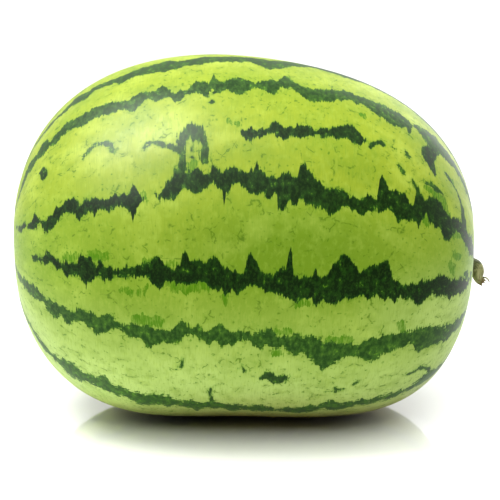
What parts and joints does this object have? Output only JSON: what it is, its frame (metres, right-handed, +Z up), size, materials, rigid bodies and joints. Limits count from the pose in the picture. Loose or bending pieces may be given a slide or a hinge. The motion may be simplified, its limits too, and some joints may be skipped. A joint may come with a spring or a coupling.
{
  "type": "watermelon",
  "caption": "Whole oval striped watermelon lying on its side on a small flat spot, with the short bent stem that it was cut with at one end.",
  "frame": {"origin": "middle of the flat spot under the fruit, on the surface that it rests on", "axes": "+X along the fruit towards the stem end, +Z up, +Y across the fruit"},
  "size_m": [0.3123, 0.238, 0.2335],
  "materials": {
    "rind": "satin, waxy, yellow-green with dark green stripes",
    "dry_stem": "matt, ribbed, olive drying to brown at the cut"
  },
  "bodies": {
    "root": {"fruit": "rind", "stem": "dry_stem"}
  },
  "joints": []
}
